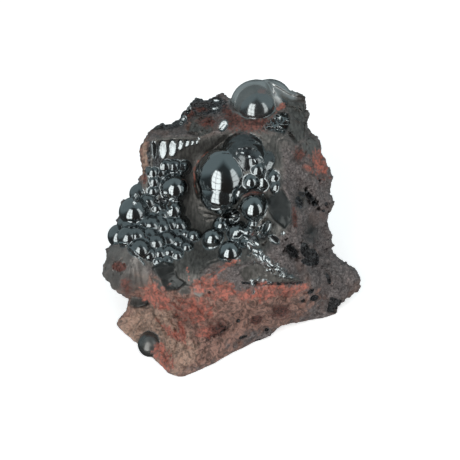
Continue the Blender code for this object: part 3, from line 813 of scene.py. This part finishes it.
# %% [markdown]
# The growths take their own gloss from the ball that each vertex lies on. Thin red lines run along the
# moat and the hollow's edge, where rust has crept into cracks, and stop at the growths.

# %% Growths and red lines
RED_LINES = [
    [(-8.6, 31), (-11.8, 28.8), (-13.7, 25.8), (-14.5, 22.2), (-14.1, 18.2), (-13.2, 14.6)],
    [(-16.5, -14.7), (-16.2, -19.5)],
    [(-8.3, -17.2), (-3.4, -15.8), (-1.1, -14.1), (3.8, -13.6)],
]
RED_LINE_WIDTH = 0.27
RED_LINE_SHARE = 0.8
which, gap = nearest_ball(points)
gloss = np.array([gloss for _, _, gloss in balls])[which]
grown = 1.0 - step(0.25, 0.5, np.abs(gap) / MM)
store(block, "grown", grown)
store(block, "growth", gloss * grown)
off_ball = step(0.3, 0.6, gap / MM)
red = finish_share("red")
for line in RED_LINES:
    line_strength = line_share(line, 2.0 * RED_LINE_WIDTH, 0.4) * front * off_ball
    red = np.maximum(red, RED_LINE_SHARE * line_strength)
store(block, "red", red)
print("vertices on growths and in the red:", int((grown > 0.5).sum()), int((red > 0.5).sum()))

# %% [markdown]
# Four finishes are left. The hollow is satin. The walls of the honeycomb, the crystal faces and the
# glassy lines shine like glass. The lobe and the dome on the top edge are paler than the rest. The top of
# the dome and the ridge beside it get a painted highlight: a paler, more reflective colour that stands for
# the light from above.

# %% Satin, glass, the pale places and a painted highlight
TOP_DOME = (10.0, 50.0, 10.0, 10.0, 0.0)
CREST = [(14, 59), (19, 57.2), (25, 53.6)]
LOBE_PALE = 0.7
DOME_PALE = 0.9
store(block, "hollow", np.maximum(hollow_share(block), finish_share("satin")))
walls = wall_share(points) * outline_share(block, HONEYCOMB, 0.4)
faces = np.max([step(1.05, 0.9, reach_of(across, up, *row[:5])) for row in crystals], axis=0) * front
store(block, "glass", np.max([finish_share("glass"), faces, walls], axis=0))
reach = reach_of(across, up, *TOP_DOME)
dome = step(1.15, 0.9, reach) * front
lobe = outline_share(block, LOBE_FACE)
store(block, "pale", np.max([finish_share("pale"), LOBE_PALE * lobe, DOME_PALE * dome], axis=0))
# Painted highlight: a streak along the ridge beside the dome, and the top of the dome's outer shell.
crest_highlight = step(2.4, 0.8, line_distance(across, up, CREST)) * front
crown_highlight = np.maximum(dome * step(0.7, 0.8, reach) * step(-1.0, 3.0, up - TOP_DOME[1]), crest_highlight)
store(block, "crown_highlight", crown_highlight)
print("vertices in the crown:", int((crown_highlight > 0.5).sum()))

# %% [markdown]
# The helpers below keep the node setups short. One adds a node and connects or sets its sockets, and the
# others build on it for noise, ranges and mixing.

# %% Helpers for nodes
class Nodes:
    """Adds nodes to a material or world; every socket is given as a value or as another node's output."""

    def __init__(self, owner, last="Principled BSDF"):
        owner.use_nodes = True
        self.tree = owner.node_tree
        self.last = self.tree.nodes[last]

    def feed(self, socket, value):
        """Connects a socket if the value is another node's output, and sets it otherwise."""
        if isinstance(value, bpy.types.NodeSocket):
            self.tree.links.new(value, socket)
        else:
            socket.default_value = value

    def add(self, kind, out=0, inputs=None, **settings):
        """Adds a node with these settings and inputs, and returns one of its outputs."""
        made = self.tree.nodes.new(kind)
        for name, value in settings.items():
            setattr(made, name, value)
        for name, value in (inputs or {}).items():
            self.feed(made.inputs[name], value)
        return made.outputs[out]

    def end(self, values):
        """Feeds the last node, which gives a surface its look or the sky its light."""
        for name, value in values.items():
            self.feed(self.last.inputs[name], value)

    def attribute(self, name):
        """A number that is stored on the mesh."""
        return self.add("ShaderNodeAttribute", out="Fac", attribute_name=name)

    def noise(self, size, detail=3.0, roughness=0.55, stretch=(1.0, 1.0, 1.0), warp=0.0):
        """Noise whose lumps are this many millimetres across."""
        where = self.add("ShaderNodeTexCoord", out="Object")
        where = self.add("ShaderNodeMapping", inputs={"Vector": where, "Scale": stretch})
        inputs = {"Vector": where, "Scale": 1.0 / (size * MM), "Detail": detail, "Roughness": roughness,
                  "Distortion": warp}
        return self.add("ShaderNodeTexNoise", out="Fac", inputs=inputs)

    def cells(self, size):
        """Distance to the nearest of scattered points that lie about this many millimetres apart."""
        where = self.add("ShaderNodeTexCoord", out="Object")
        inputs = {"Vector": where, "Scale": 1.0 / (size * MM)}
        return self.add("ShaderNodeTexVoronoi", out="Distance", inputs=inputs)

    def spread(self, value, low, high, bottom=0.0, top=1.0):
        """Maps low..high to bottom..top, held at both ends."""
        names = {"Value": value, "From Min": low, "From Max": high, "To Min": bottom, "To Max": top}
        return self.add("ShaderNodeMapRange", inputs=names, interpolation_type="SMOOTHSTEP")

    def combine(self, first, second, kind="ADD"):
        """The sum of two numbers, or another combination of them."""
        return self.add("ShaderNodeMath", operation=kind, inputs={0: first, 1: second})

    def mix(self, share, first, second):
        """Blends two colours by a share."""
        return self.add("ShaderNodeMix", out=2, data_type="RGBA", inputs={0: share, 6: first, 7: second})

    def blend(self, share, first, second):
        """Blends two plain numbers by a share."""
        return self.add("ShaderNodeMix", out=0, data_type="FLOAT", inputs={0: share, 2: first, 3: second})

    def tones(self, pattern, low, high, first, second):
        """Goes from one colour to another as a pattern rises from low to high."""
        return self.mix(self.spread(pattern, low, high), first, second)

    def broken(self, name, size, amount, sharp=0.06):
        """A patch's attribute with its edge broken up by noise."""
        shaken = self.combine(self.noise(size, 4.0), 0.5, "SUBTRACT")
        shaken = self.combine(shaken, amount * 2, "MULTIPLY")
        return self.spread(self.combine(self.attribute(name), shaken), 0.5 - sharp, 0.5 + sharp)


# %% [markdown]
# One material covers the block, because on the real stone one finish runs into the next. No finish is one
# flat colour. Noise mixes two tones of each: grain for the ore, swirls for the earth, fibres for the
# satin hollow. On the ore, dark spots in the middles of a Voronoi pattern's cells are painted shade in the
# pores, which the Bump node below sinks at the same cells. The red earth has smaller dark specks made the
# same way.

# %% Colours of the stone
material = bpy.data.materials.new("hematite")
nodes = Nodes(material)
grain = nodes.noise(2.2, 5.0, 0.65)
fine = nodes.noise(0.8, 4.0, 0.6)
clouds = nodes.noise(4.0, 3.0)
swirl = nodes.noise(4.0, 5.0, 0.6, warp=2.5)
fibres = nodes.noise(0.9, 4.0, 0.6, stretch=(1.0, 0.35, 0.35))
ore = nodes.tones(grain, 0.3, 0.7, (0.15, 0.128, 0.125, 1), (0.27, 0.235, 0.228, 1))
ore = nodes.tones(fine, 0.42, 0.62, (0.1, 0.086, 0.083, 1), ore)
# Painted shade in the pores: dark in the middles of the same 2 mm cells that the bump sinks.
ore = nodes.tones(nodes.cells(2.0), 0.08, 0.2, (0.03, 0.024, 0.024, 1), ore)
stain = nodes.spread(nodes.noise(16.0, 5.0, 0.6), 0.52, 0.68, 0.0, 0.55)
ore = nodes.mix(stain, ore, (0.17, 0.11, 0.09, 1))
earth = nodes.tones(swirl, 0.38, 0.6, (0.12, 0.074, 0.06, 1), (0.33, 0.185, 0.145, 1))
tan = nodes.tones(swirl, 0.38, 0.58, (0.2, 0.135, 0.102, 1), (0.44, 0.285, 0.218, 1))
tan = nodes.mix(nodes.spread(fine, 0.5, 0.66, 0.0, 0.6), tan, (0.2, 0.17, 0.14, 1))
rust = nodes.tones(nodes.noise(1.6, 5.0, 0.6), 0.4, 0.58, (0.46, 0.15, 0.11, 1), (0.21, 0.1, 0.08, 1))
rust = nodes.tones(nodes.cells(0.9), 0.08, 0.22, (0.12, 0.05, 0.04, 1), rust)
wine = nodes.tones(fine, 0.4, 0.6, (0.045, 0.026, 0.022, 1), (0.15, 0.055, 0.043, 1))
satin = nodes.tones(fibres, 0.3, 0.7, (0.06, 0.058, 0.054, 1), (0.145, 0.14, 0.13, 1))
pale = nodes.tones(clouds, 0.3, 0.7, (0.1, 0.096, 0.09, 1), (0.17, 0.164, 0.152, 1))
slate = nodes.tones(clouds, 0.3, 0.7, (0.022, 0.025, 0.025, 1), (0.042, 0.046, 0.046, 1))
# Near-black iron; inside the holes it is also painted shade.
dark = nodes.tones(fine, 0.4, 0.6, (0.02, 0.019, 0.02, 1), (0.1, 0.105, 0.11, 1))
veil = nodes.tones(grain, 0.35, 0.65, (0.035, 0.039, 0.04, 1), (0.075, 0.082, 0.084, 1))
# The painted highlight's colour: paler and more reflective than the mirrors, standing for light from above.
painted_highlight_colour = (0.36, 0.38, 0.38, 1)
mirror = (0.23, 0.255, 0.262, 1)
print("nodes for the colours:", len(nodes.tree.nodes))

# %% [markdown]
# The dull purple-grey ore lies under everything, and the other finishes are laid over it one after
# another, each by its own attribute. A layer has its share, its colour, how rough it is and how metallic.
# Noise breaks up the edges of the earthy ones, while those of the mirrors stay clean.

# %% Layers of finish
layers = [
    (nodes.broken("brown", 4.0, 0.4, 0.12), earth, 0.62, 0.0),
    (nodes.broken("tan", 3.0, 0.4, 0.15), tan, 0.7, 0.0),
    (nodes.attribute("hollow"), satin, 0.34, 0.6),
    (nodes.broken("dark", 1.5, 0.25), dark, 0.25, 0.5),
    (nodes.attribute("slate"), slate, 0.36, 0.6),
    (nodes.attribute("grown"), veil, 0.2, 0.9),
    (nodes.attribute("pale"), pale, 0.38, 0.55),
    (nodes.broken("wine", 1.6, 0.6, 0.25), wine, 0.7, 0.0),
    (nodes.attribute("glass"), mirror, 0.16, 1.0),
    (nodes.attribute("growth"), mirror, 0.12, 1.0),
    # Painted highlight on the top of the dome and the ridge beside it.
    (nodes.attribute("crown_highlight"), painted_highlight_colour, 0.3, 0.8),
    (nodes.broken("red", 2.2, 0.8, 0.2), rust, 0.85, 0.0),
]
colour, rough, metal = ore, 0.52, 0.25
for share, tint, roughness, metallic in layers:
    colour = nodes.mix(share, colour, tint)
    rough = nodes.blend(share, rough, roughness)
    metal = nodes.blend(share, metal, metallic)
print("layers of finish:", len(layers))

# %% [markdown]
# Grain that is too fine to carve is left to a Bump node: crumbs and pores, and strands in the brown
# earth. It is weaker in the hollow and absent from everything smooth, where it would blur the mirror
# images. Then the block gets its material and takes the solid's place.

# %% Fine relief
BUMP_HEIGHT = 0.6
HOLLOW_BUMP = 0.35
STRAND_HEIGHT = 4.0
smooth = nodes.attribute("grown")
for name in ("glass", "pale", "slate"):
    smooth = nodes.combine(smooth, nodes.attribute(name), "MAXIMUM")
relief = nodes.combine(nodes.noise(0.8, 6.0, 0.75), nodes.spread(nodes.cells(2.0), 0.0, 0.2))
strands = nodes.combine(swirl, STRAND_HEIGHT, "MULTIPLY")
relief = nodes.combine(relief, nodes.combine(strands, nodes.attribute("brown"), "MULTIPLY"))
strength = nodes.blend(smooth, nodes.blend(nodes.attribute("hollow"), 1.0, HOLLOW_BUMP), 0.0)
bump_inputs = {"Strength": strength, "Distance": BUMP_HEIGHT * MM, "Height": relief}
bump = nodes.add("ShaderNodeBump", inputs=bump_inputs)
nodes.end({"Base Color": colour, "Roughness": rough, "Metallic": metal, "Normal": bump})
block.data.materials.clear()
block.data.materials.append(material)
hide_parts("hematite_specimen")
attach(block, "root")
print("nodes in the material:", len(nodes.tree.nodes))

# %% [markdown]
# The specimen stands on white paper. A disc a hair's breadth under it is wide enough to fill every view.
# The paper glows a little, as brightly lit paper seems to, and the mirrors don't show it, because the
# dark room round the photographer is what they reflect from below.

# %% The pale floor
FLOOR_RADIUS = 3.0
FLOOR_DROP = 0.2
FLOOR_GLOW = 0.5
WHITE = (1.0, 1.0, 1.0)
bpy.ops.object.select_all(action="DESELECT")
bpy.ops.mesh.primitive_circle_add(
    vertices=96, radius=FLOOR_RADIUS, fill_type="NGON", location=(0, 0, -FLOOR_DROP * MM)
)
floor = bpy.context.active_object
floor.name = "pale_floor"
paper = bpy.data.materials.new("pale_paper")
paper_look = {"Base Color": (0.9, 0.9, 0.9, 1.0), "Roughness": 0.9}
paper_glow = {"Emission Color": (*WHITE, 1.0), "Emission Strength": FLOOR_GLOW}
Nodes(paper).end(paper_look | paper_glow)
floor.data.materials.append(paper)
floor.visible_glossy = False
print("floor's width in metres:", round(floor.dimensions.x, 2))

# %% [markdown]
# The growths mirror what lights them, so the lights have to look like the room's windows. Each window is
# a grid of bright panes, and each pane is an area light. The gaps between them are the bars of the frame,
# which draw the dark crosses in every highlight. A window has its turn round the stone in degrees, its
# columns, the width and height of a pane in metres, and a pane's power.

# %% The windows
WINDOWS = [
    (-32.0, 2, (0.27, 0.34), 1.1),
    (54.0, 1, (0.34, 0.34), 0.7),
]
WINDOW_AWAY = 0.8
WINDOW_FOOT = -0.3
PANE_ROWS = 4
PANE_GAP = 0.03
DAYLIGHT = (1.0, 0.99, 0.97)


def add_pane(name, middle, size, power, colour, aim):
    """One soft rectangular light that shines from its middle towards aim."""
    light = bpy.data.lights.new(name, "AREA")
    light.shape = "RECTANGLE"
    light.size, light.size_y = size
    light.energy = power
    light.color = colour
    lamp = bpy.data.objects.new(name, light)
    bpy.context.scene.collection.objects.link(lamp)
    lamp.location = middle
    lamp.rotation_euler = (aim - middle).to_track_quat("-Z", "Y").to_euler()
    lamp.visible_camera = False
    return lamp


panes = []
for turn, columns, (width, height), power in WINDOWS:
    angle = math.radians(turn)
    middle = Vector((math.sin(angle), -math.cos(angle), 0.0)) * WINDOW_AWAY
    along = Vector((math.cos(angle), math.sin(angle), 0.0))
    for column in range(columns):
        for row in range(PANE_ROWS):
            shift = (column - (columns - 1) / 2) * (width + PANE_GAP)
            rise = WINDOW_FOOT + height / 2 + row * (height + PANE_GAP)
            where = middle + along * shift + Vector((0, 0, rise))
            panes.append(add_pane("window_pane", where, (width, height), power, DAYLIGHT, where - middle))
print("window panes:", len(panes))

# %% [markdown]
# The windows alone would leave the dull faces too dark. A large soft light, high in front and a little to
# the right, lifts them. It stands for light from the whole room, so the mirrors don't show it.

# %% The soft light
SOFT_PLACE = Vector((0.35, -1.0, 1.25))
SOFT_AIM = Vector((0, 0, 0.03))
SOFT_WIDTH = 1.6
SOFT_POWER = 9.0
soft_light = add_pane("soft_light", SOFT_PLACE, (SOFT_WIDTH, SOFT_WIDTH), SOFT_POWER, WHITE, SOFT_AIM)
soft_light.visible_glossy = False
print("soft light's distance in metres:", round((SOFT_PLACE - SOFT_AIM).length, 2))

# %% [markdown]
# Beside the windows the mirrors show the sky, which stands for the rest of the room: pale blue-grey
# above, behind the stone, and nearly black below and in front. The Generated coordinate is the direction
# that a mirror looks in. How far it points the bright way, plus a share of how far it points sideways,
# runs through a colour ramp.

# %% The sky
BRIGHT_WAY = (0.0, 0.64, 0.77)
SIDE_SHARE = 0.45
SKY_TONES = [
    (0.0, (0.05, 0.04, 0.035)),
    (0.5, (0.06, 0.06, 0.06)),
    (0.8, (0.08, 0.095, 0.1)),
    (0.95, (0.34, 0.415, 0.435)),
    (1.0, (0.39, 0.465, 0.485)),
]
world = bpy.data.worlds.new("studio")
bpy.context.scene.world = world
sky = Nodes(world, "Background")
direction = sky.add("ShaderNodeTexCoord", out="Generated")
dot = {0: direction, 1: BRIGHT_WAY}
bright = sky.add("ShaderNodeVectorMath", out="Value", operation="DOT_PRODUCT", inputs=dot)
bright = sky.add("ShaderNodeMapRange", out="Result", inputs={"Value": bright, "From Min": -1.0})
sideways = sky.add("ShaderNodeSeparateXYZ", out="X", inputs={0: direction})
sideways = sky.add("ShaderNodeMath", operation="ABSOLUTE", inputs={0: sideways})
bright = sky.combine(bright, sky.combine(sideways, SIDE_SHARE, "MULTIPLY"))
ramp = sky.tree.nodes.new("ShaderNodeValToRGB")
sky.feed(ramp.inputs["Fac"], bright)
for _ in SKY_TONES[2:]:
    ramp.color_ramp.elements.new(0.5)
for element, (spot, tone) in zip(ramp.color_ramp.elements, SKY_TONES):
    element.position = spot
    element.color = (*tone, 1.0)
sky.end({"Color": ramp.outputs["Color"]})
print("tones of the sky:", len(ramp.color_ramp.elements))

# %% [markdown]
# The camera looks square on to the front face, with a long lens from far off, which keeps the near
# growths from swelling. Its distance follows from the width that the picture has to show, in millimetres.

# %% The camera
LENS = 150.0
SENSOR = 36.0
VIEW_WIDTH = 181.7
distance = VIEW_WIDTH * LENS / SENSOR
camera_data = bpy.data.cameras.new("camera")
camera_data.lens = LENS
camera_data.sensor_width = SENSOR
camera = bpy.data.objects.new("camera", camera_data)
bpy.context.scene.collection.objects.link(camera)
camera.location = place(0, 0, distance)
camera.rotation_euler = (math.pi / 2 - FACE_TILT, 0.0, 0.0)
bpy.context.scene.camera = camera
bpy.context.scene.view_settings.view_transform = "Standard"
print("camera's distance in mm:", round(distance))
